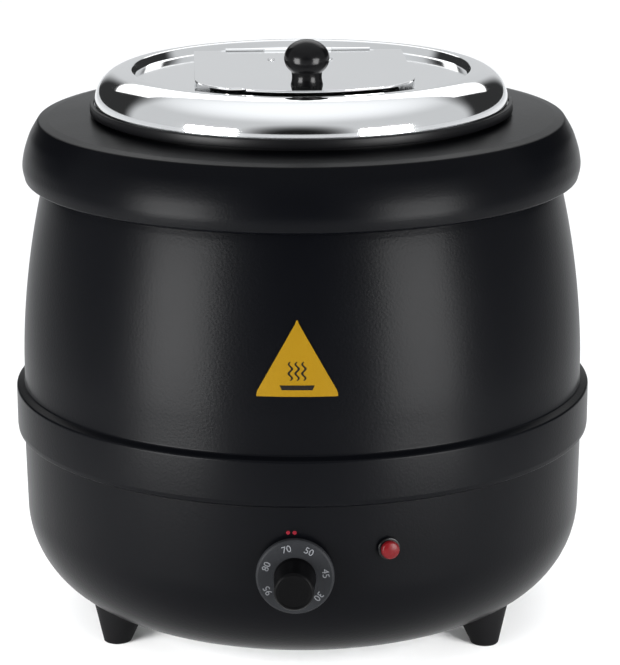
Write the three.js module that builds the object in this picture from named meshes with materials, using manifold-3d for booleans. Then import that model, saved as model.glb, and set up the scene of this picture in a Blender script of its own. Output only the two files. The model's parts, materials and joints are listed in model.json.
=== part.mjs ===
// Ten-litre electric soup kettle: a barrel-shaped coated steel housing on three feet, with a water bath,
// a lift-out soup pot, a lift-off domed lid with a hinged serving flap, and a thermostat on the front.
// Units are millimetres and +Z is up. The front faces -Y. The origin lies on the kettle's axis, level
// with the underside of the feet.
import * as THREE from "three";
import { mergeVertices } from "three/addons/utils/BufferGeometryUtils.js";
import Module from "manifold-3d";

const wasm = await Module();
wasm.setup();

// ---------------------------------------------------------------- driving dimensions
const GAP = 0.35; // clearance left between two pieces that touch
const SHEET = 1.2; // wall of the drawn steel shells
const ROUND = 36; // facets round a large turned piece
const SMALL = 12; // facets round a small turned piece
const DEG = Math.PI / 180;

const BELT_R = 170; // widest part of the housing
const BELT_TOP = 144.8;
const BELT_BOTTOM = 123;
const HEM_R = 168.1; // lower edge of the belt, which laps over the lower shell
const HEM_Z = 119.6;
const SHOULDER_R = 165.3;
const SHOULDER_Z = 148.6;
const NECK_R = 148.5; // the upper shell's hidden neck inside the collar
const NECK_TOP = 301.4;

const BASE_R = 165.4;
const BASE_LIP_R = 166.4;
const BASE_TOP = 132;
const BASE_BEND_Z = 73.4; // the bowl's corner starts here
const BASE_BOTTOM = 18.5;
const CORNER_WIDE = 52.7;
const CORNER_TALL = BASE_BEND_Z - BASE_BOTTOM;
const ACCESS_R = 84; // hole in the underside
const COVER_R = 104;
const COVER_SCREW_R = 97;

const COLLAR_SHEET = 1.5;
const COLLAR_HOLE_R = 119.5;
const COLLAR_TOP = 305.6;
const SEAT_R = 122.8; // black ring that carries the pot and the lid
const SEAT_BORE = 116.2;
const SEAT_NECK_R = 119;
const SEAT_TOP = 312.2;
const SEAT_LEDGE_Z = 310.4;

const BATH_R = 130;
const BATH_FLOOR = 50;
const BATH_FLANGE_R = 140;
const BATH_FLANGE_TOP = 302.3;
const POT_R = 115;
const POT_FLOOR = 70;
const POT_WALL = 1;
const POT_RIM_R = 120.1;
const POT_RIM_TOP = 311.7;

const LID_R = 120;
const LID_BOTTOM = 312.1;
const LID_WALL = 1;
const LID_CREST_R = 100.5;
const LID_CREST = 331.4;
const LID_FLOOR = 326.6; // top face of the lid's sunk floor
const LID_FLOOR_R = 95;
const LID_TURN = 4 * DEG; // the lid lies turned by this about the kettle's axis
const OPENING_HALF = 53;
const OPENING_R = 84;
const OPENING_REAR = 34;

const FLAP_HALF = 62;
const FLAP_R = 91; // radius of the flap's front edge
const FLAP_REAR = 48.4;
const FLAP_SHEET = 1.2;
const FLAP_TOP = 333.2;
const FLAP_LIP = LID_FLOOR + 0.6; // lowest point of the flap's turned-down edge
const HINGE_Y = 47;
const HINGE_Z = 332.6;
const BARREL_R = 2;
const BARREL_BORE = 1.3;
const PIN_R = 0.95;
const FLAP_BARREL = 20; // half length of the flap's own barrel
const HINGE_HALF = 43;
const KNOB_Y = -72;
const KNOB_BALL_R = 12.6;
const KNOB_TOP = 358.6;

const DIAL_Z = 81; // height of the thermostat's axis
const DIAL_R = 21.5;
const DIAL_BACK = -168.2;
const DIAL_FACE = -172.2;
const GRIP_R = 11.3;
const FRONT_REACH = 195; // the knob and the cord gland stand out equally far
const SHAFT_R = 3;
const LAMP_AZIMUTH = 17.7 * DEG;
const LAMP_Z = 93.3;
const GLAND_Z = 85;
const FOOT_R = 125; // distance of a foot's underside from the axis
const FOOT_AZIMUTHS = { front_left: -60 * DEG, front_right: 60 * DEG, rear: Math.PI };
const COVER_AZIMUTHS = [0, 120 * DEG, 240 * DEG];

// ---------------------------------------------------------------- materials
const paint = (color, roughness, metalness = 0) =>
  new THREE.MeshStandardMaterial({ color, roughness, metalness });
const COATED = () => paint(0x19191b, 0.55, 0.1);
const BLACK_PLASTIC = () => paint(0x101012, 0.3);
const RUBBER = () => paint(0x17181a, 0.8);
const CHROME = () => paint(0xe6e7e8, 0.08, 1);
const STEEL = () => paint(0xb9bbbd, 0.3, 1);
const ALUMINIUM = () => paint(0xc3c4c6, 0.4, 1);
const COPPER = () => paint(0xb4724c, 0.35, 1);
const YELLOW = () => paint(0xd9a616, 0.5);
const RED_LENS = () => paint(0xb81c1c, 0.2);
const CERAMIC = () => paint(0xe9e4d8, 0.6);

// ---------------------------------------------------------------- geometry helpers
const v2 = (x, y) => new THREE.Vector2(x, y);
const v3 = (x, y, z) => new THREE.Vector3(x, y, z);

// Gives back a plain closed geometry whose faces point outwards.
function outward(geometry) {
  const source = geometry.index ? geometry.toNonIndexed() : geometry;
  const position = source.getAttribute("position").clone();
  const [a, b, c] = [v3(), v3(), v3()];
  let volume = 0;
  for (let i = 0; i < position.count; i += 3) {
    a.fromBufferAttribute(position, i);
    b.fromBufferAttribute(position, i + 1);
    c.fromBufferAttribute(position, i + 2);
    volume += a.dot(b.cross(c));
  }
  for (let i = 0; volume < 0 && i < position.count; i += 3) {
    b.fromBufferAttribute(position, i + 1);
    c.fromBufferAttribute(position, i + 2);
    position.setXYZ(i + 1, c.x, c.y, c.z);
    position.setXYZ(i + 2, b.x, b.y, b.z);
  }
  return new THREE.BufferGeometry().setAttribute("position", position);
}

function solid(geometry) {
  const merged = mergeVertices(outward(geometry), 1e-4);
  const mesh = new wasm.Mesh({
    numProp: 3,
    vertProperties: new Float32Array(merged.attributes.position.array),
    triVerts: new Uint32Array(merged.index.array),
  });
  return new wasm.Manifold(mesh);
}

function geometryOf(manifold) {
  const mesh = manifold.getMesh();
  return new THREE.BufferGeometry()
    .setAttribute("position", new THREE.BufferAttribute(new Float32Array(mesh.vertProperties), 3))
    .setIndex(new THREE.BufferAttribute(new Uint32Array(mesh.triVerts), 1));
}

const cut = (body, ...tools) =>
  geometryOf(tools.reduce((left, tool) => left.subtract(solid(tool)), solid(body)));
const joined = (...bodies) => geometryOf(bodies.map(solid).reduce((a, b) => a.add(b)));
const common = (a, b) => geometryOf(solid(a).intersect(solid(b)));

// Turns a profile of [radius, height] points about +Z. A profile off the axis is closed on itself.
function turned(profile, facets = ROUND) {
  const points = profile.map(([r, z]) => v2(r, z));
  if (profile[0][0] > 0) points.push(points[0].clone());
  return new THREE.LatheGeometry(points, facets).rotateX(Math.PI / 2);
}

// Points on an elliptical arc about (r, z), from one angle to another, ends included.
function arc(r, z, wide, tall, from, to, steps) {
  return Array.from({ length: steps + 1 }, (_, i) => {
    const t = (from + ((to - from) * i) / steps) * DEG;
    return [r + wide * Math.cos(t), z + tall * Math.sin(t)];
  });
}

// Closes an outer profile into a sheet: the same profile moved left of its direction, walked back.
function sheet(outer, thickness) {
  const last = outer.length - 1;
  const normals = outer.slice(1).map(([r, z], i) => v2(outer[i][1] - z, r - outer[i][0]).normalize());
  const inner = outer.map(([r, z], i) => {
    const before = normals[Math.max(i - 1, 0)];
    const after = normals[Math.min(i, last - 1)];
    const miter = before.clone().add(after).normalize();
    const reach = thickness / Math.max(miter.dot(before), 0.5);
    return [Math.max(r + miter.x * reach, 0), z + miter.y * reach];
  });
  return [...outer, ...inner.reverse()];
}

const box = (x, y, z, at = [0, 0, 0]) => new THREE.BoxGeometry(x, y, z).translate(...at);
const cylinder = (r, length, facets, top = r) => new THREE.CylinderGeometry(top, r, length, facets);
// Cylinders along +Z, +Y and +X from a low to a high coordinate.
const rod = (r, low, high, facets = SMALL, top = r) =>
  cylinder(r, high - low, facets, top).rotateX(Math.PI / 2).translate(0, 0, (low + high) / 2);
const rodY = (r, low, high, facets = SMALL, end = r) =>
  cylinder(r, high - low, facets, end).translate(0, (low + high) / 2, 0);
const rodX = (r, low, high, facets = SMALL) =>
  cylinder(r, high - low, facets).rotateZ(-Math.PI / 2).translate((low + high) / 2, 0, 0);
const plate = (shape, low, high) =>
  new THREE.ExtrudeGeometry(shape, { depth: high - low, bevelEnabled: false, curveSegments: 5 })
    .translate(0, 0, low);

// A tube of round section along a smooth curve through the points.
function tube(points, r, steps, sides = 8) {
  const extrudePath = new THREE.CatmullRomCurve3(points.map((p) => v3(...p)), false, "centripetal");
  const section = new THREE.Shape();
  section.absarc(0, 0, r, 0, 2 * Math.PI);
  return new THREE.ExtrudeGeometry(section, { steps, extrudePath, curveSegments: sides });
}

// Radius of a profile of [radius, height] points at a height.
function radiusAt(profile, z) {
  const i = profile.findIndex(([, top]) => top >= z);
  const [r0, z0] = profile[i - 1];
  const [r1, z1] = profile[i];
  return r0 + ((r1 - r0) * (z - z0)) / (z1 - z0);
}

const kettle = new THREE.Group();
kettle.name = "soup_kettle";
function add(name, geometry, material, parent = kettle) {
  const mesh = new THREE.Mesh(outward(geometry), material);
  mesh.name = name;
  parent.add(mesh);
}

// ---------------------------------------------------------------- housing
const bowl = [
  [ACCESS_R, BASE_BOTTOM],
  ...arc(BASE_R - CORNER_WIDE, BASE_BEND_Z, CORNER_WIDE, CORNER_TALL, -90, 0, 6),
  [BASE_LIP_R, BASE_TOP],
];
const barrel = [
  [HEM_R, HEM_Z],
  [169.5, 120.6],
  [BELT_R, BELT_BOTTOM],
  [BELT_R, BELT_TOP],
  [169.2, 146.4],
  [SHOULDER_R, SHOULDER_Z],
  [165.1, 158],
  [162.9, 187],
  [159.9, 217],
  [155.3, 246],
  [150.8, 266.5],
  [NECK_R, 275],
  [NECK_R, NECK_TOP],
];

function lowerShell() {
  const front = (r, x, z) => rodY(r, -175, -150).translate(x, 0, z);
  const lampHole = front(5.4, 0, LAMP_Z).rotateZ(LAMP_AZIMUTH);
  const glandHole = rodY(8.4, 150, 175).translate(0, 0, GLAND_Z);
  const footHoles = Object.values(FOOT_AZIMUTHS).map((a) => rod(2.8, 10, 34).translate(0, -FOOT_R, 0).rotateZ(a));
  const coverHoles = COVER_AZIMUTHS.map((a) => rod(2.3, 10, 34).translate(0, -COVER_SCREW_R, 0).rotateZ(a));
  const dialHoles = [front(5.2, 0, DIAL_Z), front(2.2, -13, DIAL_Z), front(2.2, 13, DIAL_Z)];
  return cut(turned(sheet(bowl, SHEET)), lampHole, glandHole, ...dialHoles, ...footHoles, ...coverHoles);
}

function collar() {
  const outer = [
    [153.6, 269.2],
    [158.8, 268.4],
    [160.6, 269.6],
    [162.2, 279],
    [161.4, 285.4],
    [158, 295.4],
    [154.4, 301.4],
    [149.8, 303.8],
    [COLLAR_HOLE_R, COLLAR_TOP],
  ];
  return turned(sheet(outer, COLLAR_SHEET));
}

function seatRing() {
  return turned([
    [SEAT_BORE, SEAT_TOP - 13.6],
    [SEAT_NECK_R, SEAT_TOP - 13.6],
    [SEAT_NECK_R, SEAT_TOP - 5.2],
    [SEAT_R - 0.5, SEAT_TOP - 5.2],
    [SEAT_R, SEAT_TOP - 4.4],
    [SEAT_R, SEAT_TOP - 0.8],
    [SEAT_R - 0.6, SEAT_TOP],
    [POT_RIM_R + 0.4, SEAT_TOP],
    [POT_RIM_R + 0.4, SEAT_LEDGE_Z],
    [SEAT_BORE, SEAT_LEDGE_Z],
  ]);
}

function waterPot() {
  const outer = [
    [0, BATH_FLOOR],
    [BATH_R - 12, BATH_FLOOR],
    [BATH_R - 3, BATH_FLOOR + 4],
    [BATH_R, BATH_FLOOR + 13],
    [BATH_R, BATH_FLANGE_TOP - SHEET],
    [BATH_FLANGE_R, BATH_FLANGE_TOP - SHEET],
  ];
  return turned(sheet(outer, SHEET));
}

function foot() {
  const body = rod(8, 0, 27, 20, 17.5);
  const position = body.getAttribute("position");
  for (let i = 0; i < position.count; i++) {
    position.setY(i, position.getY(i) - FOOT_R + (4 * position.getZ(i)) / 27);
  }
  const wide = CORNER_WIDE + GAP;
  const tall = CORNER_TALL + GAP;
  const corner = arc(BASE_R - CORNER_WIDE, BASE_BEND_Z, wide, tall, -90, 0, 12);
  const above = turned([[0, BASE_BOTTOM - GAP], ...corner, [0, BASE_BEND_Z]], 72);
  const bore = joined(rod(5.3, -1, 5), rod(2.7, 4, 40)).translate(0, -FOOT_R, 0);
  return cut(body, above, bore);
}

function addFeet() {
  for (const [side, azimuth] of Object.entries(FOOT_AZIMUTHS)) {
    const placed = (geometry) => geometry.translate(0, -FOOT_R, 0).rotateZ(azimuth);
    add(`foot_${side}`, foot().rotateZ(azimuth), RUBBER());
    add(`foot_screw_${side}`, placed(joined(rod(4.6, 1.6, 4.6), rod(2.3, 4, 30))), STEEL());
    add(`foot_nut_${side}`, placed(cut(rod(5.6, 23.8, 27.6, 6), rod(2.65, 20, 30))), STEEL());
  }
}

function addUnderside() {
  const screwHoles = COVER_AZIMUTHS.map((a) => rod(2.3, 10, 34).translate(0, -COVER_SCREW_R, 0).rotateZ(a));
  add("bottom_cover", cut(rod(COVER_R, 17, 18.15, ROUND), ...screwHoles), STEEL());
  COVER_AZIMUTHS.forEach((azimuth, i) => {
    const screw = joined(rod(3.8, 14.8, 16.65), rod(1.95, 16, 26)).translate(0, -COVER_SCREW_R, 0);
    add(`cover_screw_${i + 1}`, screw.rotateZ(azimuth), STEEL());
  });
}

// The element lies flat under the water bath, held up by a plate on a central stud.
function addHeating() {
  const ring = Array.from({ length: 21 }, (_, i) => {
    const t = (12 + (336 * i) / 20) * DEG;
    return [-80 * Math.sin(t), 80 * Math.cos(t), 45.2];
  });
  const ends = [-1, 1].map((side) => [side * 17, 104, 40]);
  add("heating_element", tube([ends[0], ...ring, ends[1]], 4, 40), STEEL());
  add("element_clamp_plate", cut(rod(72, 39.2, 40.8, 24), rod(3.5, 30, 50)), ALUMINIUM());
  add("clamp_stud", rod(3, 28, BATH_FLOOR - GAP), STEEL());
  add("clamp_nut", cut(rod(6, 34, 38.8, 6), rod(3.4, 30, 50)), STEEL());
  add("thermal_cutout", joined(rod(8, 43, 49.6), rod(5, 38, 44)).translate(104, 0, 0), CERAMIC());
}

function addThermostat() {
  const bushing = rodY(4.6, -167, -159);
  const body = box(34, 26, 34, [0, -147, 0]);
  const screwHoles = [-13, 13].map((x) => rodY(2.1, -162, -150).translate(x, 0, 0));
  const whole = cut(joined(body, bushing), rodY(SHAFT_R + GAP, -170, -145), ...screwHoles);
  add("thermostat_body", whole.translate(0, 0, DIAL_Z), CERAMIC());
  [-13, 13].forEach((x, i) => {
    const screw = joined(rodY(3.4, -167.6, -166), rodY(1.75, -167, -151));
    add(`thermostat_screw_${i + 1}`, screw.translate(x, 0, DIAL_Z), STEEL());
  });
  add("thermostat_bulb", rodX(3, -30, 30).translate(0, -104, 46.2), COPPER());
  const run = [
    [30.4, -104, 46.2],
    [42, -106, 44],
    [48, -124, 42],
    [40, -140, 56],
    [30, -147, 78],
    [18.4, -147, 80],
  ];
  add("capillary_tube", tube(run, 1.2, 18, 5), COPPER());
}

function addLamp() {
  const place = (geometry) => geometry.translate(0, 0, LAMP_Z).rotateZ(LAMP_AZIMUTH);
  const body = cut(joined(rodY(5, -167.4, -140), rodY(6.4, -168.2, -166.9)), rodY(4, -172, -156));
  add("lamp_body", place(body), BLACK_PLASTIC());
  add("lamp_lens", place(joined(rodY(3.6, -169, -157), rodY(5, -171.4, -168.6, SMALL, 5), rodY(3, -172.3, -171))), RED_LENS());
  add("lamp_nut", place(cut(rodY(7.4, -162, -158.4, 6), rodY(5.4, -170, -150))), STEEL());
}

function addCordEntry() {
  const flange = rodY(12, 166.9, 172, 6);
  const cap = rodY(10.5, 171, FRONT_REACH, SMALL, 8.6);
  const body = cut(joined(rodY(8, 150, 168), flange, cap), rodY(4.4, 156, 200));
  add("cable_gland", body.translate(0, 0, GLAND_Z), BLACK_PLASTIC());
  add("gland_nut", cut(rodY(11.5, 153, 158, 6), rodY(8.4, 140, 170)).translate(0, 0, GLAND_Z), BLACK_PLASTIC());
  const ways = [-12, 0, 12].map((x) => rod(3.2, 70, 80).translate(x, 142, 0));
  add("terminal_block", cut(box(40, 16, 16, [0, 142, 68]), ...ways).rotateZ(-35 * DEG), CERAMIC());
}

// A triangle with rounded corners, rolled onto the barrel.
function warningLabel() {
  const azimuth = 0.9 * DEG;
  const [low, high, half] = [181, 222, 23.2];
  const corners = [v2(-half, low), v2(half, low), v2(0, high)];
  const centre = v2(0, low + (high - low) / 3);
  const outline = [];
  corners.forEach((corner, i) => {
    const [before, after] = [corners[(i + 2) % 3], corners[(i + 1) % 3]];
    const start = corner.clone().lerp(before, 0.07);
    const end = corner.clone().lerp(after, 0.07);
    outline.push(start, start.clone().add(end).lerp(corner, 0).multiplyScalar(0.5).lerp(corner, 0.5), end);
    for (const t of [0.25, 0.5, 0.75]) outline.push(end.clone().lerp(after.clone().lerp(corner, 0.07), t));
  });
  const rolled = (p, lift) => {
    const r = radiusAt(barrel, p.y) + lift;
    const t = azimuth + p.x / r;
    return [r * Math.sin(t), -r * Math.cos(t), p.y];
  };
  const triangles = [];
  outline.forEach((p, i) => {
    const q = outline[(i + 1) % outline.length];
    const [pi, qi, ci] = [p, q, centre].map((s) => rolled(s, 0.3));
    const [po, qo, co] = [p, q, centre].map((s) => rolled(s, 0.8));
    triangles.push(pi, qi, ci, po, co, qo, pi, po, qi, qi, po, qo);
  });
  return new THREE.BufferGeometry().setAttribute("position", new THREE.Float32BufferAttribute(triangles.flat(), 3));
}

add("lower_shell", lowerShell(), COATED());
add("upper_shell", turned(sheet(barrel, SHEET)), COATED());
add("collar", collar(), COATED());
add("seat_ring", seatRing(), BLACK_PLASTIC());
add("water_pot", waterPot(), STEEL());
addUnderside();
addFeet();
addHeating();
addThermostat();
addLamp();
addCordEntry();
add("warning_label", warningLabel(), YELLOW());

// ---------------------------------------------------------------- soup pot
function foodPot() {
  const outer = [
    [0, POT_FLOOR],
    [POT_R - 14, POT_FLOOR],
    [POT_R - 4, POT_FLOOR + 4],
    [POT_R, POT_FLOOR + 14],
    [POT_R, POT_RIM_TOP - POT_WALL],
    [POT_RIM_R, POT_RIM_TOP - POT_WALL],
  ];
  return turned(sheet(outer, POT_WALL));
}
add("food_pot", foodPot(), STEEL());

// ---------------------------------------------------------------- lid
const lid = new THREE.Group();
lid.rotation.z = LID_TURN;
kettle.add(lid);

// A rectangle whose front edge is an arc about the lid's centre, with blunted front corners.
function frontedShape(half, r, rear, blunt) {
  const corner = Math.asin((half - blunt) / r);
  const shape = new THREE.Shape();
  shape.moveTo(half, rear);
  shape.lineTo(-half, rear);
  const sharp = -Math.sqrt(r * r - half * half);
  shape.lineTo(-half, sharp + blunt);
  shape.quadraticCurveTo(-half, sharp, -r * Math.sin(corner), -r * Math.cos(corner));
  for (let i = 1; i <= 10; i++) {
    const t = -corner + (2 * corner * i) / 10;
    shape.lineTo(r * Math.sin(t), -r * Math.cos(t));
  }
  shape.quadraticCurveTo(half, sharp, half, sharp + blunt);
  shape.closePath();
  return shape;
}

function lidShell() {
  const skirt = POT_R - POT_WALL - 0.7;
  const across = LID_R - LID_CREST_R;
  const up = LID_CREST - LID_BOTTOM - 0.8;
  const shell = turned([
    [skirt, LID_BOTTOM - 4],
    [skirt, LID_BOTTOM],
    [LID_R - 0.6, LID_BOTTOM],
    ...arc(LID_CREST_R, LID_BOTTOM + 0.8, across, up, 0, 90, 5),
    [98.2, LID_CREST - 0.2],
    [96.2, LID_FLOOR + 0.8],
    [LID_FLOOR_R, LID_FLOOR],
    [0, LID_FLOOR],
    [0, LID_FLOOR - LID_WALL],
    [LID_FLOOR_R + 0.6, LID_FLOOR - LID_WALL],
    [97.2, LID_FLOOR + 0.4],
    [98.9, LID_CREST - 1.2],
    ...arc(LID_CREST_R, LID_BOTTOM + 0.8, across - LID_WALL, up - LID_WALL, 90, 6, 4),
    [skirt - LID_WALL, LID_BOTTOM + LID_WALL],
    [skirt - LID_WALL, LID_BOTTOM - 4],
  ]);
  const rivets = [-34, 34].map((x) => rod(1.6, 315, 345).translate(x, 55, 0));
  return cut(shell, plate(frontedShape(OPENING_HALF, OPENING_R, OPENING_REAR, 5), 315, 345), ...rivets);
}

const hingeRod = (r, from, to) => rodX(r, from, to).translate(0, HINGE_Y, HINGE_Z);

function hingeLeaf() {
  const low = LID_FLOOR + GAP;
  const leaf = box(2 * HINGE_HALF, 10, 1, [0, 54.8, low + 0.5]);
  const knuckles = [-1, 1].flatMap((side) => {
    const [near, far] = [FLAP_BARREL + 0.4, HINGE_HALF];
    const middle = (side * (near + far)) / 2;
    const ends = [side * near, side * far].sort((a, b) => a - b);
    return [hingeRod(BARREL_R, ...ends), box(far - near, 2.6, HINGE_Z - low, [middle, 49.1, (HINGE_Z + low) / 2])];
  });
  const rivets = [-34, 34].map((x) => rod(1.6, 315, 345).translate(x, 55, 0));
  return cut(joined(leaf, ...knuckles), hingeRod(BARREL_BORE, -60, 60), ...rivets);
}

add("lid_shell", lidShell(), CHROME(), lid);
add("hinge_leaf", hingeLeaf(), STEEL(), lid);
add("hinge_pin", hingeRod(PIN_R, -HINGE_HALF, HINGE_HALF), STEEL(), lid);
[-34, 34].forEach((x, i) => {
  const shank = rod(1.25, LID_FLOOR - 2, LID_FLOOR + 2);
  const head = rod(2.6, LID_FLOOR + 1.7, LID_FLOOR + 2.6, SMALL, 2);
  const rivet = joined(head, shank, rod(2.4, LID_FLOOR - 2.4, LID_FLOOR - 1.35));
  add(`hinge_rivet_${i + 1}`, rivet.translate(x, 55, 0), STEEL(), lid);
});

// ---------------------------------------------------------------- serving flap
function lidFlap() {
  const under = FLAP_TOP - FLAP_SHEET;
  const outline = frontedShape(FLAP_HALF, FLAP_R, FLAP_REAR, 18);
  const inside = box(2 * (FLAP_HALF - FLAP_SHEET), 300, 20, [0, 0, under - 10]);
  const tray = cut(plate(outline, FLAP_LIP, FLAP_TOP), inside);
  const lipEnds = joined(box(200, 20, 10, [0, 49, under - 5]), box(200, 60, 10, [0, -78, under - 5]));
  const hingeRoom = box(2 * HINGE_HALF + 5, 20, 10, [0, 54.4, FLAP_TOP]);
  const ladleNotch = box(20, 12, 10, [-44, -86, FLAP_TOP]);
  const knuckle = joined(hingeRod(BARREL_R, -FLAP_BARREL, FLAP_BARREL), box(2 * FLAP_BARREL, 4, FLAP_SHEET, [0, 44.6, HINGE_Z]));
  const plain = cut(tray, lipEnds, hingeRoom, ladleNotch);
  const knobHole = rod(2.4, 315, 345).translate(0, KNOB_Y, 0);
  const rivetHoles = [-17, 17].map((x) => rod(1.6, 315, 345).translate(x, 13, 0));
  return cut(joined(plain, knuckle), hingeRod(BARREL_BORE, -60, 60), knobHole, ...rivetHoles);
}

function lidKnob() {
  const centre = KNOB_TOP - 11;
  const low = FLAP_TOP + GAP;
  const profile = [
    [0, KNOB_TOP],
    ...arc(0, centre, KNOB_BALL_R, 11, 68, -45, 6),
    [8.7, centre - 9.2],
    [8.9, low + 1],
    [9.4, low],
    [2.4, low],
    [2.4, low + 12],
    [0, low + 12],
  ];
  return turned(profile, 20);
}

add("lid_flap", lidFlap(), CHROME(), lid);
add("lid_knob", lidKnob().translate(0, KNOB_Y, 0), BLACK_PLASTIC(), lid);
const underFlap = FLAP_TOP - FLAP_SHEET - GAP;
const knobScrew = joined(rod(4.2, underFlap - 2.2, underFlap), rod(2, underFlap - 1, FLAP_TOP + 11));
add("knob_screw", knobScrew.translate(0, KNOB_Y, 0), STEEL(), lid);
[-17, 17].forEach((x, i) => {
  const head = rod(2.2, FLAP_TOP + GAP, FLAP_TOP + 0.9, SMALL, 1.6);
  const rivet = joined(head, rod(1.25, underFlap - 0.4, FLAP_TOP + 0.6), rod(2.2, underFlap - 0.7, underFlap));
  add(`flap_rivet_${i + 1}`, rivet.translate(x, 13, 0), STEEL(), lid);
});

// ---------------------------------------------------------------- thermostat knob
function knobGrip() {
  const stem = rodY(GRIP_R, -FRONT_REACH, DIAL_FACE - GAP, 20);
  const crown = turned([[0, 0], [GRIP_R - 1.2, 0], [GRIP_R + 4, 6], [GRIP_R + 4, 40], [0, 40]], 20);
  const rounded = common(stem, crown.rotateX(-Math.PI / 2).translate(0, -FRONT_REACH, 0));
  return cut(rounded, rodY(SHAFT_R + GAP, -188, -160));
}
const dialSkirt = cut(rodY(DIAL_R, DIAL_FACE, DIAL_BACK, 30), rodY(SHAFT_R + GAP, -180, -160));
add("dial_skirt", dialSkirt.translate(0, 0, DIAL_Z), BLACK_PLASTIC());
add("knob_grip", knobGrip().translate(0, 0, DIAL_Z), BLACK_PLASTIC());
add("thermostat_shaft", rodY(SHAFT_R, -187.6, -146).translate(0, 0, DIAL_Z), STEEL());

export default kettle;
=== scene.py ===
import json
import math

import bmesh
import bpy
from mathutils import Matrix, Vector


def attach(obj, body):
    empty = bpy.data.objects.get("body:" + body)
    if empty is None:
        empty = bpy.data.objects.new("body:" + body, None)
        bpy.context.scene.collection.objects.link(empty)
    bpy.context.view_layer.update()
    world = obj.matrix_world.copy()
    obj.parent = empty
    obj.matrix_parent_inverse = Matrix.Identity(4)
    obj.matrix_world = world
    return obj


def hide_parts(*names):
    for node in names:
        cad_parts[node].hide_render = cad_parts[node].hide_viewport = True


# Electric soup kettle. Lengths in this script are millimetres in the CAD's frame until MM scales them.
MM = 0.001
TURNS = 160  # segments round a large turned piece
SMALL_TURNS = 64
GAP = 0.35  # clearance between two pieces that touch
SHEET = 1.2  # wall of the steel shells

# Housing
BELT_R = 170
BELT_TOP = 145.9
HEM_R = 168.1  # lower edge of the belt, which laps over the bowl
HEM_Z = 119.6
BARREL_R = 165.2  # widest part of the barrel above the belt
BARREL_WIDEST = 152
BARREL_CURVE = 930
NECK_R = 148.5
NECK_TOP = 301.4
BOWL_R = 165.4
BOWL_LIP_R = 166.4
BOWL_TOP = 132
BOWL_BEND = 73.4  # the bowl's corner starts here
BOWL_BOTTOM = 18.5
CORNER_WIDE = 52.7
CORNER_TALL = BOWL_BEND - BOWL_BOTTOM
ACCESS_R = 84  # hole in the underside
COVER_R = 104
COLLAR_SHEET = 1.5
COLLAR_HOLE_R = 119.5
COLLAR_TOP = 305.6
SEAT_R = 122.8
SEAT_NECK_R = 119
SEAT_BORE = 116.2
SEAT_TOP = 312.2
BATH_R = 130
BATH_FLANGE_R = 140
BATH_FLOOR = 50
BATH_TOP = 301.1
FOOT_AZIMUTHS = {"foot_front_left": -60, "foot_front_right": 60, "foot_rear": 180}
FOOT_R = 125  # distance of a foot's sole from the axis
FOOT_TALL = 27
SOLE_R = 8
FOOT_TOP_R = 17.5
FOOT_LEAN = 4  # a foot's top lies this much nearer to the axis than its sole

# Controls, label and cord gland
DIAL_Z = 81
DIAL_R = 21.5
DIAL_BACK = 168.2
DIAL_FACE = 172.2
SHAFT_BORE = 3.35
REACH = 195  # the thermostat's grip and the cord gland stand out equally far
NUMERAL_R = 16.6
INDEX_AZIMUTH = -0.7
INDEX_Z = 104.5
LAMP_Z = 93.3
LAMP_AZIMUTH = math.radians(17.7)
LABEL_AZIMUTH = math.radians(0.5)
LABEL_LOW = 181
LABEL_HIGH = 222
LABEL_HALF = 23.2
GLAND_Z = 85
GLAND_R = 10.5

# Pot, lid and flap
POT_R = 115
POT_RIM_R = 120.1
POT_FLOOR = 70
POT_TOP = 310.7
LID_TURN = math.radians(4)  # the lid lies turned by this, as in the CAD
LID_R = 120
LID_WALL = 1
LID_BOTTOM = 312.1
LID_CREST = 331.4
LID_CREST_R = 101
LID_SKIRT_R = 113.3
LID_FLOOR = 326.6  # top face of the lid's sunk floor
LID_FLOOR_R = 93
OPENING_HALF = 53
OPENING_REAR = 34
OPENING_R = 84
OPENING_CORNER = 10
FLAP_HALF = 62
FLAP_R = 91
FLAP_REAR = 48.4
FLAP_TOP = 333.2
FLAP_CORNER = 18  # the rounding of the flap's front corners takes this off its width
HINGE = (0, 47, 332.6)
HINGE_BARREL_R = 2
HINGE_BORE = 1.3
HINGE_HALF = 45.5  # half width of the recess for the hinge
FLAP_BARREL = 20
KNOB_Y = -72
KNOB_R = 12.6
KNOB_TALL = 10.4
KNOB_MIDDLE = 348.2

# Camera
CAMERA_AZIMUTH = math.radians(1.5)
CAMERA_LEVEL = 1499.7  # level distance from the kettle's axis
CAMERA_HEIGHT = 583.8
CAMERA_ROLL = math.radians(-0.2)
CAMERA_LENS = 141.24
AIM_ASIDE = 4.6
AIM_HEIGHT = 171.3

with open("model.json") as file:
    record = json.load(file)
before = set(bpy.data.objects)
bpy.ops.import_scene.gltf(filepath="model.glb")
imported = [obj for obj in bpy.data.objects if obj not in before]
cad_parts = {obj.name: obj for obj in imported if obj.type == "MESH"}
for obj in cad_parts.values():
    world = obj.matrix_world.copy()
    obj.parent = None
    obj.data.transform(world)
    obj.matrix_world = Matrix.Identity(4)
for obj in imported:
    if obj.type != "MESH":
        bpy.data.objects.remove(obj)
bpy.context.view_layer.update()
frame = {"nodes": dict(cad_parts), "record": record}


# ---------------------------------------------------------------- shapes
def arc(cx, cy, wide, tall, start, end, steps=10):
    """Points on an elliptical arc, angles in degrees, ends included."""
    angles = [math.radians(start + (end - start) * i / steps) for i in range(steps + 1)]
    return [(cx + wide * math.cos(a), cy + tall * math.sin(a)) for a in angles]


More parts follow.
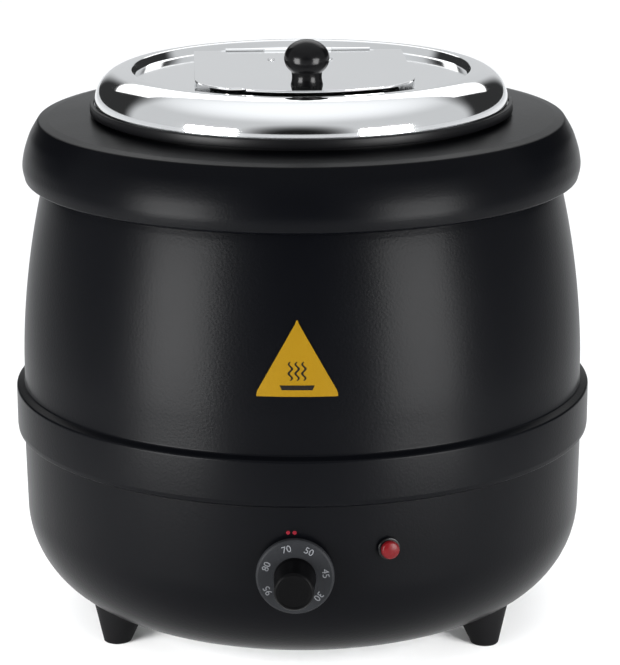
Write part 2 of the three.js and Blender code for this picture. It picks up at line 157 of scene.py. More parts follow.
def filleted(points, steps=6):
    """Rounds the corners of an open outline of (x, y, radius) points."""
    out = [points[0][:2]]
    for before, corner, after in zip(points, points[1:], points[2:]):
        here = Vector(corner[:2])
        to_before = Vector(before[:2]) - here
        to_after = Vector(after[:2]) - here
        turn = to_before.angle(to_after)
        reach = corner[2] / math.tan(turn / 2)
        reach = min(reach, 0.49 * to_before.length, 0.49 * to_after.length)
        start = here + to_before.normalized() * reach
        end = here + to_after.normalized() * reach
        for i in range(steps + 1):
            t = i / steps
            bent = start * (1 - t) ** 2 + here * 2 * t * (1 - t) + end * t ** 2
            out.append(tuple(bent))
    out.append(points[-1][:2])
    return out


def smooth(points, per=6):
    """A Catmull-Rom curve through the points."""
    out = []
    for i in range(len(points) - 1):
        p0 = Vector(points[max(i - 1, 0)])
        p1 = Vector(points[i])
        p2 = Vector(points[i + 1])
        p3 = Vector(points[min(i + 2, len(points) - 1)])
        for k in range(per):
            t = k / per
            linear = (p2 - p0) * t
            square = (p0 * 2 - p1 * 5 + p2 * 4 - p3) * t * t
            cube = (p1 * 3 - p0 - p2 * 3 + p3) * t ** 3
            out.append(tuple((p1 * 2 + linear + square + cube) / 2))
    out.append(tuple(points[-1]))
    return out


def sheet(outer, thickness):
    """Closes a profile into a wall: the same line moved to its left, walked back."""
    inner = []
    for i, (x, y) in enumerate(outer):
        before = outer[max(i - 1, 0)]
        after = outer[min(i + 1, len(outer) - 1)]
        along = Vector((after[0] - before[0], after[1] - before[1])).normalized()
        inner.append((max(x - along.y * thickness, 0), y + along.x * thickness))
    return list(outer) + inner[::-1]


def mesh_piece(name, vertices, faces, material, body, nodes=(), slot=None, sharp=32, bevel=0):
    """A piece from millimetre vertices, which rides a body and stands for some CAD nodes."""
    mesh = bpy.data.meshes.new(name)
    mesh.from_pydata([Vector(v) * MM for v in vertices], [], faces)
    bm = bmesh.new()
    bm.from_mesh(mesh)
    bmesh.ops.remove_doubles(bm, verts=bm.verts, dist=1e-7)
    bmesh.ops.recalc_face_normals(bm, faces=bm.faces)
    bm.to_mesh(mesh)
    bm.free()
    mesh.shade_smooth()
    mesh.set_sharp_from_angle(angle=math.radians(sharp))
    mesh.materials.append(material)
    piece = bpy.data.objects.new(name, mesh)
    bpy.context.scene.collection.objects.link(piece)
    if bevel:
        edge = piece.modifiers.new("edge", "BEVEL")
        edge.width = bevel * MM
        edge.segments = 2
        edge.limit_method = "ANGLE"
        edge.angle_limit = math.radians(40)
        edge.harden_normals = True
    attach(piece, body)
    if nodes:
        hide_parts(*nodes)
    return piece


def lathe(profile, turns=TURNS, place=None):
    """Vertices and faces of a profile of (r, z) turned about +Z, then moved by a matrix."""
    closed = profile[0][0] > 1e-6 or profile[-1][0] > 1e-6
    vertices = []
    faces = []
    for i in range(turns):
        a = 2 * math.pi * i / turns
        for r, z in profile:
            v = Vector((r * math.sin(a), -r * math.cos(a), z))
            vertices.append(place @ v if place else v)
    count = len(profile)
    spans = count if closed else count - 1
    for i in range(turns):
        here = i * count
        there = ((i + 1) % turns) * count
        for k in range(spans):
            n = (k + 1) % count
            ring = (here + k, there + k, there + n, here + n)
            if profile[k][0] < 1e-6 and profile[n][0] < 1e-6:
                continue
            if profile[k][0] < 1e-6:
                ring = (here + k, there + n, here + n)
            elif profile[n][0] < 1e-6:
                ring = (here + k, there + k, here + n)
            faces.append(ring)
    return vertices, faces


def prism(outline, low, high, place=None):
    """Vertices and faces of a closed outline of (x, y) raised from low to high."""
    n = len(outline)
    vertices = [Vector((x, y, z)) for z in (low, high) for x, y in outline]
    if place:
        vertices = [place @ v for v in vertices]
    faces = [tuple(range(n))[::-1], tuple(range(n, 2 * n))]
    faces += [(i, (i + 1) % n, n + (i + 1) % n, n + i) for i in range(n)]
    return vertices, faces


def together(*parts):
    """One set of vertices and faces from several."""
    vertices = []
    faces = []
    for part_vertices, part_faces in parts:
        start = len(vertices)
        vertices += part_vertices
        faces += [tuple(start + i for i in face) for face in part_faces]
    return vertices, faces


def forward(azimuth=0, height=0):
    """Turns +Z to point out of the kettle's front, at an azimuth and a height."""
    out = Matrix.Rotation(math.radians(90), 4, "X")
    return Matrix.Rotation(azimuth, 4, "Z") @ Matrix.Translation((0, 0, height)) @ out


LID = Matrix.Rotation(LID_TURN, 4, "Z")


# ---------------------------------------------------------------- materials
def finish(name, colour, rough, metal=0.0, specular=0.5, grain=0.0, grain_size=900.0,
           vary=0.12, rough_vary=0.05, stretch=(1, 1, 1)):
    """A procedural finish: broad colour and gloss variation, with a fine grain as relief."""
    made = bpy.data.materials.new(name)
    made.use_nodes = True
    nodes = made.node_tree.nodes
    links = made.node_tree.links
    shader = nodes["Principled BSDF"]
    shader.inputs["Metallic"].default_value = metal
    shader.inputs["Specular IOR Level"].default_value = specular
    where = nodes.new("ShaderNodeTexCoord")
    scale = nodes.new("ShaderNodeMapping")
    scale.inputs["Scale"].default_value = stretch
    links.new(where.outputs["Object"], scale.inputs["Vector"])
    broad = nodes.new("ShaderNodeTexNoise")
    broad.inputs["Scale"].default_value = 14
    broad.inputs["Detail"].default_value = 4
    links.new(scale.outputs["Vector"], broad.inputs["Vector"])
    shade = nodes.new("ShaderNodeMix")
    shade.data_type = "RGBA"
    shade.inputs["A"].default_value = (*[c * (1 - vary) for c in colour], 1)
    shade.inputs["B"].default_value = (*[min(c * (1 + vary), 1) for c in colour], 1)
    links.new(broad.outputs["Fac"], shade.inputs["Factor"])
    links.new(shade.outputs["Result"], shader.inputs["Base Color"])
    gloss = nodes.new("ShaderNodeMapRange")
    gloss.inputs["To Min"].default_value = max(rough - rough_vary, 0.01)
    gloss.inputs["To Max"].default_value = rough + rough_vary
    links.new(broad.outputs["Fac"], gloss.inputs["Value"])
    links.new(gloss.outputs["Result"], shader.inputs["Roughness"])
    if grain:
        fine = nodes.new("ShaderNodeTexNoise")
        fine.inputs["Scale"].default_value = grain_size
        fine.inputs["Detail"].default_value = 2
        links.new(scale.outputs["Vector"], fine.inputs["Vector"])
        relief = nodes.new("ShaderNodeBump")
        relief.inputs["Strength"].default_value = grain
        relief.inputs["Distance"].default_value = 0.0002
        links.new(fine.outputs["Fac"], relief.inputs["Height"])
        links.new(relief.outputs["Normal"], shader.inputs["Normal"])
    return made


COAT = finish("coated_black", (0.0009, 0.0010, 0.0014), 0.3, specular=0.04, grain=0.35, grain_size=700)
SEAT = finish("seat_black", (0.002, 0.002, 0.0024), 0.38, specular=0.1)
GLOSSY = finish("knob_black", (0.002, 0.002, 0.0022), 0.2, specular=0.12, rough_vary=0.02)
DIAL = finish("dial_black", (0.009, 0.0095, 0.0105), 0.45, specular=0.04, grain=0.1)
GRIP = finish("grip_black", (0.0009, 0.0009, 0.001), 0.35, specular=0.03)
PRINT = finish("numeral_white", (0.085, 0.088, 0.094), 0.5, specular=0.1)
RUBBER = finish("foot_rubber", (0.003, 0.003, 0.0033), 0.6, specular=0.06, grain=0.2, grain_size=500)
CHROME = finish("lid_chrome", (0.8, 0.805, 0.81), 0.07, metal=1.0, rough_vary=0.02, vary=0.02)
STEEL = finish("satin_steel", (0.56, 0.565, 0.57), 0.27, metal=1.0, grain=0.08, vary=0.06,
               stretch=(1, 1, 9))
ALUMINIUM = finish("aluminium", (0.62, 0.63, 0.64), 0.36, metal=1.0, vary=0.06)
COPPER = finish("copper", (0.62, 0.3, 0.18), 0.3, metal=1.0, vary=0.1)
CERAMIC = finish("ceramic", (0.72, 0.68, 0.6), 0.5, grain=0.1)
YELLOW = finish("label_yellow", (0.102, 0.057, 0.0016), 0.42, specular=0.06, vary=0.05)
INK = finish("label_ink", (0.004, 0.003, 0.002), 0.5, specular=0.06)
RED_INK = finish("index_red", (0.08, 0.003, 0.007), 0.5, specular=0.1)
LENS = finish("lens_red", (0.056, 0.002, 0.003), 0.3, specular=0.1, vary=0.15)

SLOTS = {
    "coated_black": COAT,
    "black_plastic": SEAT,
    "foot_rubber": RUBBER,
    "lid_chrome": CHROME,
    "steel": STEEL,
    "aluminium": ALUMINIUM,
    "copper": COPPER,
    "ceramic": CERAMIC,
    "label_yellow": YELLOW,
    "lens_red": LENS,
}


def refinish_cad():
    """Gives every CAD node its slot's procedural finish."""
    for part in frame["record"]["subparts"]:
        node = frame["nodes"][part["node"]]
        for place in node.material_slots:
            place.material = SLOTS[part["material_slot"]]


# ---------------------------------------------------------------- housing
def barrel_radius(z):
    """Radius of the barrel's outside between the belt and the collar."""
    return BARREL_R - (z - BARREL_WIDEST) ** 2 / BARREL_CURVE


def housing():
    bowl = [(ACCESS_R, BOWL_BOTTOM)]
    bowl += arc(BOWL_R - CORNER_WIDE, BOWL_BEND, CORNER_WIDE, CORNER_TALL, -90, 0, 26)
    bowl += [(BOWL_LIP_R, BOWL_TOP)]
    mesh_piece("bowl", *lathe(sheet(bowl, SHEET)), COAT, "housing", ["lower_shell"], "coated_black")
    barrel()
    collar()
    seat_ring()
    bath = filleted([
        (0, BATH_FLOOR, 0), (BATH_R, BATH_FLOOR, 13), (BATH_R, BATH_TOP, 1), (BATH_FLANGE_R, BATH_TOP, 0),
    ], 10)
    mesh_piece("bath", *lathe(sheet(bath, SHEET)), STEEL, "housing", ["water_pot"], "steel")
    low, high = 17, 18.15
    cover = filleted([(0, low, 0), (COVER_R, low, 0.4), (COVER_R, high, 0.4), (0, high, 0)], 3)
    mesh_piece("underside_cover", *lathe(cover), STEEL, "housing", ["bottom_cover"], "steel")


def barrel():
    """The upper shell: a belt with a flat ledge, a curved side and a neck hidden in the collar."""
    side_low = 166
    belt = filleted([
        (HEM_R, HEM_Z, 0), (BELT_R - 0.3, HEM_Z + 1, 0.7), (BELT_R, HEM_Z + 3.4, 2),
        (BELT_R, BELT_TOP, 1.7), (BARREL_R, BELT_TOP + 1.9, 1.4), (barrel_radius(side_low), side_low, 0),
    ], 8)
    side = [(barrel_radius(z), z) for z in range(side_low + 6, 257, 6)]
    neck = smooth([
        (NECK_R + 3.6, 262.5), (NECK_R + 1.9, 268), (NECK_R + 0.5, 273), (NECK_R, 280), (NECK_R, NECK_TOP),
    ], 4)
    mesh_piece("barrel", *lathe(sheet(belt + side + neck, SHEET)), COAT, "housing", ["upper_shell"],
               "coated_black")


def collar():
    """The rolled collar: a crisp lower edge, a round face and a nearly flat top."""
    edge_end = (162.4, 274.5)
    roll_end = (155.4, 299.2)
    edge = filleted([(153.4, 269.4, 0), (158.6, 268.2, 1.2), (161.3, 269.8, 1.6), (*edge_end, 0)], 6)
    roll = smooth([edge_end, (162.6, 278), (161.6, 284), (159.8, 290), (157.8, 295), roll_end], 5)[1:]
    top = filleted([
        (*roll_end, 0), (152.9, COLLAR_TOP - 2.4, 2.2), (147, COLLAR_TOP - 1.4, 6),
        (COLLAR_HOLE_R, COLLAR_TOP, 0),
    ], 6)[1:]
    mesh_piece("rolled_collar", *lathe(sheet(edge + roll + top, COLLAR_SHEET)), COAT, "housing",
               ["collar"], "coated_black")


def seat_ring():
    low = SEAT_TOP - 13.6
    flange = SEAT_TOP - 5.2
    ledge = SEAT_TOP - 1.8
    lip_r = POT_RIM_R + 0.4
    ring = filleted([
        (SEAT_BORE, low, 0), (SEAT_NECK_R, low, 0.3), (SEAT_NECK_R, flange, 0.4), (SEAT_R, flange, 0.8),
        (SEAT_R, SEAT_TOP, 1), (lip_r, SEAT_TOP, 0.2), (lip_r, ledge, 0.2), (SEAT_BORE, ledge, 0.4),
        (SEAT_BORE, low + 0.3, 0),
    ], 3)
    mesh_piece("seat", *lathe(ring), SEAT, "housing", ["seat_ring"], "black_plastic")


def bowl_height(r):
    """Height of the bowl's outside over a distance from the axis, less the clearance."""
    round_part = max(r - BOWL_R + CORNER_WIDE, 0) / CORNER_WIDE
    return BOWL_BEND - CORNER_TALL * math.sqrt(max(1 - round_part ** 2, 0)) - GAP


def feet():
    """Oblique tapered feet, trimmed to the bowl, with a counterbore for the screw."""
    sides = 56
    bore_r, bore_top, screw_hole_r = 5.3, 5, 2.7
    for name, degrees in FOOT_AZIMUTHS.items():
        around = []
        for i in range(sides):
            a = 2 * math.pi * i / sides
            column = [(bore_r, bore_top), (bore_r, 0.5), (bore_r + 0.4, 0), (SOLE_R - 0.4, 0)]
            points = [(r * math.cos(a), -FOOT_R + r * math.sin(a), z) for r, z in column]
            low = Vector((SOLE_R * math.cos(a), -FOOT_R + SOLE_R * math.sin(a), 0))
            high_y = -FOOT_R + FOOT_LEAN + FOOT_TOP_R * math.sin(a)
            high = Vector((FOOT_TOP_R * math.cos(a), high_y, FOOT_TALL))
            t = 0.6
            for _ in range(12):  # closes in on the point where the side meets the bowl
                at = low.lerp(high, t)
                t += (bowl_height(math.hypot(at.x, at.y)) - at.z) / FOOT_TALL
            points += [tuple(low.lerp(high, s * t)) for s in (0.02, 0.1, 0.3, 0.5, 0.7, 0.9, 1)]
            x = screw_hole_r * math.cos(a)
            y = -FOOT_R + screw_hole_r * math.sin(a)
            points += [(x, y, bowl_height(math.hypot(x, y))), (x, y, bore_top)]
            around.append(points)
        count = len(around[0])
        vertices = [Vector(p) for points in around for p in points]
        faces = []
        for i in range(sides):
            here = i * count
            there = ((i + 1) % sides) * count
            for k in range(count):
                n = (k + 1) % count
                faces.append((here + k, here + n, there + n, there + k))
        turn = Matrix.Rotation(math.radians(degrees), 4, "Z")
        placed = [turn @ v for v in vertices]
        mesh_piece(name + "_rubber", placed, faces, RUBBER, "housing", [name], "foot_rubber")


# ---------------------------------------------------------------- controls, label and cord gland
def thermostat():
    at = forward(0, DIAL_Z)
    skirt = filleted([
        (SHAFT_BORE, DIAL_BACK, 0), (DIAL_R - 0.6, DIAL_BACK, 0.3), (DIAL_R, DIAL_BACK + 0.7, 0.5),
        (DIAL_R - 0.2, DIAL_FACE - 0.8, 0.6), (DIAL_R - 1.3, DIAL_FACE, 0.8), (SHAFT_BORE, DIAL_FACE, 0),
    ], 4)
    mesh_piece("dial", *lathe(skirt, 96, at), DIAL, "knob", ["dial_skirt"], "black_plastic")
    foot = DIAL_FACE + GAP
    grip = filleted([
        (SHAFT_BORE, foot, 0), (11.6, foot, 0.4), (11.2, foot + 3.45, 2), (10.8, REACH - 1.4, 0.5),
        (9.6, REACH, 1.2), (8.4, REACH - 0.4, 0.4), (0, REACH - 0.6, 0),
    ], 4)
    grip += [(0, REACH - 7), (SHAFT_BORE, REACH - 7)]
    mesh_piece("grip", *lathe(grip, 72, at), GRIP, "knob", ["knob_grip"], "black_plastic")
    marks = {"95": 243, "80": 292, "70": 344, "50": 27, "45": 82, "30": 130}
    for words, clockwise in marks.items():
        numeral(words, math.radians(clockwise))
    off = math.radians(211)
    off_r = 16.4
    low, high = DIAL_FACE - 0.15, DIAL_FACE + 0.12
    place = Matrix.Translation((off_r * math.sin(off), 0, off_r * math.cos(off))) @ at
    mesh_piece("mark_off", *lathe([(0, low), (1.1, low), (1.1, high), (0, high)], 24, place), PRINT, "knob")


def index_dots():
    """Two small printed dots over the dial."""
    dot = [(0, 165.9), (1.15, 165.9), (1.0, 166.5), (0, 166.6)]
    for side, name in ((-1, "index_dot_left"), (1, "index_dot_right")):
        place = forward(math.radians(INDEX_AZIMUTH + side * 0.62), INDEX_Z)
        mesh_piece(name, *lathe(dot, 24, place), RED_INK, "housing")


def pilot_lamp():
    lamp = forward(LAMP_AZIMUTH, LAMP_Z)
    bore_r, body_r, rim_r = 3.9, 5, 6.4
    back, wall, rim = 157, 166.9, 168.2
    bezel = filleted([
        (bore_r, back, 0), (body_r, back, 0.2), (body_r, wall - 0.3, 0.2), (rim_r, wall, 0.4),
        (rim_r - 0.2, rim, 0.5), (bore_r, rim, 0),
    ], 3)
    mesh_piece("lamp_bezel", *lathe(bezel, SMALL_TURNS, lamp), GLOSSY, "housing", ["lamp_body"],
               "black_plastic")
    lens_r = 5
    stem_r = bore_r - 0.4
    lens = [(0, back + 1), (stem_r, back + 1), (stem_r, rim + 0.3), (lens_r, rim + 0.4)]
    lens += arc(0, rim + 2.4, lens_r, 1.7, 0, 90, 10)
    mesh_piece("lamp_window", *lathe(lens, SMALL_TURNS, lamp), LENS, "housing", ["lamp_lens"], "lens_red")


def numeral(words, clockwise):
    """A printed dial numeral whose top points away from the dial's centre."""
    text = bpy.data.curves.new("numeral_" + words, "FONT")
    text.body = words
    text.align_x = "CENTER"
    text.align_y = "CENTER"
    text.size = 5.4 * MM
    text.extrude = 0.06 * MM
    holder = bpy.data.objects.new("numeral_maker", text)
    bpy.context.scene.collection.objects.link(holder)
    flat = bpy.data.meshes.new_from_object(holder.evaluated_get(bpy.context.evaluated_depsgraph_get()))
    bpy.data.objects.remove(holder)
    spin = Matrix.Rotation(-clockwise, 4, "Z")
    out = Matrix.Translation((0, NUMERAL_R, 0))
    stand = Matrix.Rotation(math.radians(90), 4, "X")
    height = Matrix.Translation((0, -DIAL_FACE - 0.1, DIAL_Z))
    place = height @ stand @ spin @ out
    vertices = [place @ (v.co / MM) for v in flat.vertices]
    faces = [tuple(f.vertices) for f in flat.polygons]
    mesh_piece("numeral_" + words, vertices, faces, PRINT, "knob")


def rolled(x, z, lift):
    """A point on the barrel's outside, x millimetres round from the label's centre line."""
    r = barrel_radius(z) + lift
    a = LABEL_AZIMUTH + x / r
    return Vector((r * math.sin(a), -r * math.cos(a), z))


def patch(name, grid, low, high, material, nodes=(), slot=None):
    """A thin closed sheet on the barrel from rows of (x, z) points."""
    rows = len(grid)
    columns = len(grid[0])
    vertices = [rolled(x, z, lift) for lift in (low, high) for row in grid for x, z in row]
    layer = rows * columns
    faces = []
    for j in range(rows - 1):
        for i in range(columns - 1):
            a = j * columns + i
            ring = (a, a + 1, a + columns + 1, a + columns)
            faces.append(ring[::-1])
            faces.append(tuple(layer + k for k in ring))
    rim = [i for i in range(columns)]
    rim += [j * columns + columns - 1 for j in range(1, rows)]
    rim += [(rows - 1) * columns + i for i in range(columns - 2, -1, -1)]
    rim += [j * columns for j in range(rows - 2, 0, -1)]
    for here, there in zip(rim, rim[1:] + rim[:1]):
        faces.append((here, there, layer + there, layer + here))
    return mesh_piece(name, vertices, faces, material, "housing", nodes, slot)


def label():
    """A plain triangle with three heat waves over a dish."""
    rows, columns = 24, 12
    blunt = 1.2  # taken off the two lower corners
    grid = []
    for j in range(rows + 1):
        t = j / rows
        corner = max(0.0, 1 - j / 1.5) * blunt
        reach = max(LABEL_HALF * (1 - t) - corner, 0.45)
        z = LABEL_LOW + (LABEL_HIGH - LABEL_LOW) * t
        grid.append([(reach * (2 * i / columns - 1), z) for i in range(columns + 1)])
    patch("heat_label", grid, 0.3, 0.55, YELLOW, ["warning_label"], "label_yellow")
    wave_low = LABEL_LOW + 8.8
    wave_tall = 10.2
    for k in (-1, 0, 1):
        wave = []
        for j in range(rows + 1):
            t = j / rows
            x = 3.6 * k + 0.9 * math.sin(t * 4 * math.pi)
            z = wave_low + wave_tall * t
            width = 0.62 * (1 - 0.5 * abs(2 * t - 1) ** 3)
            wave.append([(x - width, z), (x + width, z)])
        patch(f"heat_wave_{k + 2}", wave, 0.5, 0.68, INK)
    dish_low = LABEL_LOW + 3.6
    dish = []
    for j in range(5):
        z = dish_low + 2.6 * j / 4
        reach = 8.2 + 1.2 * j / 4
        dish.append([(reach * (2 * i / columns - 1), z) for i in range(columns + 1)])
    patch("heat_dish", dish, 0.5, 0.68, INK)


def cord_entry():
    """The gland at the back where a cord would enter: a hexagonal flange and a tapered, ribbed cap."""
    back = forward(math.pi, GLAND_Z)
    wall = 166.9
    cap_start = 173
    bore_r, thread_r, hexagon_r = 4.4, 8, 12
    corners = [math.radians(60 * i) for i in range(6)]
    hexagon = [(hexagon_r * math.cos(a), hexagon_r * math.sin(a)) for a in corners]
    flange = prism(hexagon, wall, cap_start - 1, back)
    profile = [(bore_r, 156), (thread_r, 156), (thread_r, cap_start - 2), (GLAND_R, cap_start - 1)]
    for i in range(6):
        y = cap_start + 3 * i
        r = GLAND_R - 0.25 * i
        profile += [(r, y), (r, y + 2), (r - 0.5, y + 2.3), (r - 0.5, y + 2.8)]
    profile += [(8.9, REACH - 3), (8.3, REACH - 0.6), (7.4, REACH), (bore_r, REACH)]
    cap = lathe(profile, SMALL_TURNS, back)
    mesh_piece("cord_gland", *together(flange, cap), SEAT, "housing", ["cable_gland"], "black_plastic",
               sharp=25)


# ---------------------------------------------------------------- pot, lid and flap
def soup_pot():
    pot = filleted([
        (0, POT_FLOOR, 0), (POT_R, POT_FLOOR, 14), (POT_R, POT_TOP, 0.8), (POT_RIM_R, POT_TOP, 0),
    ], 10)
    mesh_piece("soup_pot", *lathe(sheet(pot, 1)), STEEL, "pot", ["food_pot"], "steel")


def lid():
    """The dome is turned. Its floor is two rings of quads from the recess to the opening's edge."""
    dome_low = LID_BOTTOM + 0.8
    outer = [(LID_SKIRT_R, LID_BOTTOM - 4), (LID_SKIRT_R, LID_BOTTOM), (LID_R - 0.6, LID_BOTTOM)]
    outer += arc(LID_CREST_R, dome_low, LID_R - LID_CREST_R, LID_CREST - dome_low, 0, 90, 18)
    outer += filleted([
        (LID_CREST_R, LID_CREST, 0), (98.3, LID_CREST, 1.2), (96.4, LID_FLOOR, 1.4),
        (LID_FLOOR_R, LID_FLOOR, 0),
    ], 6)[1:]
    wall = sheet(outer, LID_WALL)
    half = len(outer)
    wall[half] = (LID_FLOOR_R, LID_FLOOR - LID_WALL)
    vertices, faces = lathe(wall, TURNS, LID)
    missing = half - 1  # the face across the wall's inner end, where the floor joins on
    keep = [f for i, f in enumerate(faces) if i % len(wall) != missing]
    dome = together((vertices, keep), lid_floor())
    mesh_piece("lid_dome", *dome, CHROME, "lid", ["lid_shell"], "lid_chrome")


def lid_floor():
    """Vertices and faces of the sunk floor between the recess and the opening's edge."""
    vertices = []
    for z in (LID_FLOOR, LID_FLOOR - LID_WALL):
        for i in range(TURNS):
            a = 2 * math.pi * i / TURNS
            rim = Vector((LID_FLOOR_R * math.sin(a), -LID_FLOOR_R * math.cos(a), z))
            vertices += [rim, opening_edge(rim, z)]
    faces = []
    layer = 2 * TURNS
    for i in range(TURNS):
        a = 2 * i
        b = 2 * ((i + 1) % TURNS)
        faces.append((a, b, b + 1, a + 1))
        faces.append((layer + a + 1, layer + b + 1, layer + b, layer + a))
        faces.append((a + 1, b + 1, layer + b + 1, layer + a + 1))
    return [LID @ v for v in vertices], faces


def opening_edge(rim, z):
    """Where a line from the opening's middle to the lid's rim leaves the ladle opening."""
    centre = Vector((0, -25, z))
    out = rim - centre
    low, high = 0.0, 1.0
    for _ in range(30):
        t = (low + high) / 2
        p = centre + out * t
        across = max(abs(p.x) - OPENING_HALF + OPENING_CORNER, 0)
        along = max(p.y - OPENING_REAR + OPENING_CORNER, 0)
        inside = math.hypot(across, along) < OPENING_CORNER and math.hypot(p.x, p.y) < OPENING_R
        low, high = (t, high) if inside else (low, t)
    return centre + out * low


def flap_front(x):
    """The flap's curved front edge, as a height on the plan over x."""
    return -math.sqrt(FLAP_R ** 2 - x * x)


def flap_outline():
    """The flap seen from above: square rear corners, a curved front and a small ladle notch."""
    front = []
    arc_x = FLAP_HALF - FLAP_CORNER
    sharp = flap_front(FLAP_HALF)
    start = (-FLAP_HALF, sharp + FLAP_CORNER)
    control = (-FLAP_HALF, sharp)
    end = (-arc_x, flap_front(arc_x))
    for i in range(9):
        t = i / 8
        x = start[0] * (1 - t) ** 2 + control[0] * 2 * t * (1 - t) + end[0] * t * t
        y = start[1] * (1 - t) ** 2 + control[1] * 2 * t * (1 - t) + end[1] * t * t
        front.append((x, y))
    right = [(-x, y) for x, y in front[::-1]]
    notch = [(-43.3, -80), (-36, -80), (-34, -84.4)]
    middle = [(x, flap_front(x)) for x in range(-30, arc_x - 1, 4)]
    right_rear = [
        (FLAP_HALF, FLAP_REAR), (HINGE_HALF, FLAP_REAR), (HINGE_HALF, FLAP_REAR - 4),
        (FLAP_BARREL, FLAP_REAR - 4), (FLAP_BARREL, FLAP_REAR - 2.9),
    ]
    left_rear = [(-x, y) for x, y in right_rear[::-1]]
    return front + notch + middle + right + right_rear + left_rear


def tube_x(outer, inner, start, end, turns=32):
    """A tube along the hinge line."""
    along = Matrix.Translation(HINGE) @ Matrix.Rotation(math.radians(90), 4, "Y")
    return lathe([(inner, start), (outer, start), (outer, end), (inner, end)], turns, LID @ along)


def flap():
    under = FLAP_TOP - SHEET
    plate = prism(flap_outline(), under, FLAP_TOP, LID)
    lips = []
    for side in (-1, 1):
        outer = side * FLAP_HALF
        inner = side * (FLAP_HALF - SHEET)
        strip = [(outer, -48), (outer, 39), (inner, 39), (inner, -48)]
        lips.append(prism(strip, LID_FLOOR + 0.6, under + 0.05, LID))
    barrel_piece = tube_x(HINGE_BARREL_R, HINGE_BORE, -FLAP_BARREL, FLAP_BARREL)
    mesh_piece("serving_flap", *together(plate, *lips, barrel_piece), CHROME, "flap", ["lid_flap"],
               "lid_chrome", bevel=0.25)
    ball_knob()


def ball_knob():
    """A ball on a waisted neck, hollow where its screw enters."""
    low = FLAP_TOP + GAP
    screw_r = 2.4
    screw_top = KNOB_MIDDLE - 3.2
    knob = [(0, KNOB_MIDDLE + KNOB_TALL)] + arc(0, KNOB_MIDDLE, KNOB_R, KNOB_TALL, 84, -46, 22)
    knob += smooth([
        (8.5, KNOB_MIDDLE - 8), (8.3, KNOB_MIDDLE - 9.8), (8.4, KNOB_MIDDLE - 12),
        (8.8, KNOB_MIDDLE - 13.9), (9, low),
    ], 4)
    knob += [(screw_r, low), (screw_r, screw_top), (0, screw_top)]
    at = LID @ Matrix.Translation((0, KNOB_Y, 0))
    mesh_piece("ball_knob", *lathe(knob, 72, at), GLOSSY, "flap", ["lid_knob"], "black_plastic")


# ---------------------------------------------------------------- studio
def soft_box(name, azimuth, elevation, distance, width, height, power, aim=180):
    """A rectangular soft light that faces the kettle, placed by angle from the front.

    The distance, width and height are metres and the power is watts. The aim is a height in millimetres.
    """
    a = math.radians(azimuth)
    e = math.radians(elevation)
    target = Vector((0, 0, aim * MM))
    out = Vector((math.sin(a) * math.cos(e), -math.cos(a) * math.cos(e), math.sin(e)))
    light = bpy.data.lights.new(name, "AREA")
    light.shape = "RECTANGLE"
    light.size = width
    light.size_y = height
    light.energy = power
    lamp = bpy.data.objects.new(name, light)
    lamp.location = target + out * distance
    lamp.rotation_euler = out.to_track_quat("Z", "Y").to_euler()
    bpy.context.scene.collection.objects.link(lamp)


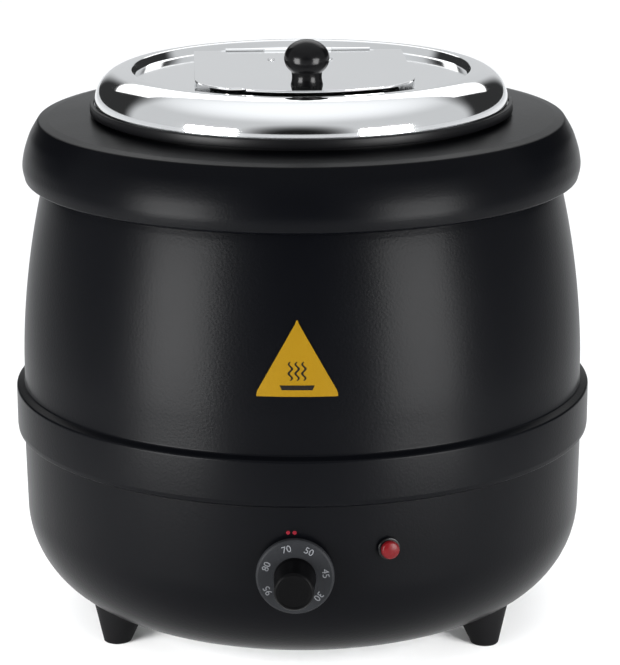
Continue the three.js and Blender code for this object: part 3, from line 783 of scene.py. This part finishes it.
def room():
    """A pale room: dark low in front and behind to each side, and brighter overhead."""
    world = bpy.data.worlds.new("studio")
    world.use_nodes = True
    nodes = world.node_tree.nodes
    links = world.node_tree.links
    where = nodes.new("ShaderNodeTexCoord")
    split = nodes.new("ShaderNodeSeparateXYZ")
    links.new(where.outputs["Generated"], split.inputs["Vector"])

    def ramp(source, start, end, low, high):
        step = nodes.new("ShaderNodeMapRange")
        step.interpolation_type = "SMOOTHSTEP"
        for name, value in (("From Min", start), ("From Max", end), ("To Min", low), ("To Max", high)):
            step.inputs[name].default_value = value
        links.new(source, step.inputs["Value"])
        return step.outputs["Result"]

    def maths(operation, *sources):
        node = nodes.new("ShaderNodeMath")
        node.operation = operation
        for source, socket in zip(sources, node.inputs):
            links.new(source, socket)
        return node.outputs[0]

    front = ramp(split.outputs["Y"], -0.99, -0.8, 0.02, 1)
    across = maths("ABSOLUTE", split.outputs["X"])
    diagonal = maths("MULTIPLY", across, split.outputs["Y"])
    behind = ramp(diagonal, 0.2, 0.36, 1, 0.05)
    above = ramp(split.outputs["Z"], 0.55, 1, 0.72, 1.3)
    strength = maths("MULTIPLY", maths("MULTIPLY", front, behind), above)
    nodes["Background"].inputs["Color"].default_value = (0.96, 0.98, 1, 1)
    links.new(strength, nodes["Background"].inputs["Strength"])
    bpy.context.scene.world = world


def lights():
    soft_box("behind", 180, 40, 3.4, 5.0, 1.6, 40)
    soft_box("left", -45, 0, 0.76, 0.37, 0.44, 14, aim=225)
    soft_box("right", 45, 0, 0.76, 0.37, 0.44, 12.5, aim=225)


def floor():
    half = 24.0  # metres
    mesh = bpy.data.meshes.new("floor")
    corners = [(-half, -half, 0), (half, -half, 0), (half, half, 0), (-half, half, 0)]
    mesh.from_pydata(corners, [], [(0, 1, 2, 3)])
    ground = bpy.data.objects.new("floor", mesh)
    mesh.materials.append(finish("floor_pale", (0.93, 0.93, 0.93), 0.7, vary=0.01, specular=0.1))
    bpy.context.scene.collection.objects.link(ground)


def camera():
    """Looks at the kettle from in front and a little above."""
    right = Vector((math.cos(CAMERA_AZIMUTH), math.sin(CAMERA_AZIMUTH), 0))
    inward = Vector((-math.sin(CAMERA_AZIMUTH), math.cos(CAMERA_AZIMUTH), 0))
    where = -inward * CAMERA_LEVEL + Vector((0, 0, CAMERA_HEIGHT))
    target = right * AIM_ASIDE + Vector((0, 0, AIM_HEIGHT))
    look = (target - where).normalized()
    across = look.cross(Vector((0, 0, 1))).normalized()
    upward = across.cross(look)
    side = across * math.cos(CAMERA_ROLL) + upward * math.sin(CAMERA_ROLL)
    top = upward * math.cos(CAMERA_ROLL) - across * math.sin(CAMERA_ROLL)
    eye = bpy.data.cameras.new("camera")
    eye.sensor_fit = "AUTO"
    eye.sensor_width = 36
    eye.lens = CAMERA_LENS
    holder = bpy.data.objects.new("camera", eye)
    turn = Matrix((side, top, -look)).transposed().to_4x4()
    holder.matrix_world = Matrix.Translation(where * MM) @ turn
    bpy.context.scene.collection.objects.link(holder)
    bpy.context.scene.camera = holder
    bpy.context.scene.view_settings.view_transform = "Standard"


refinish_cad()
housing()
feet()
thermostat()
index_dots()
pilot_lamp()
label()
cord_entry()
soup_pot()
lid()
flap()
room()
lights()
floor()
camera()
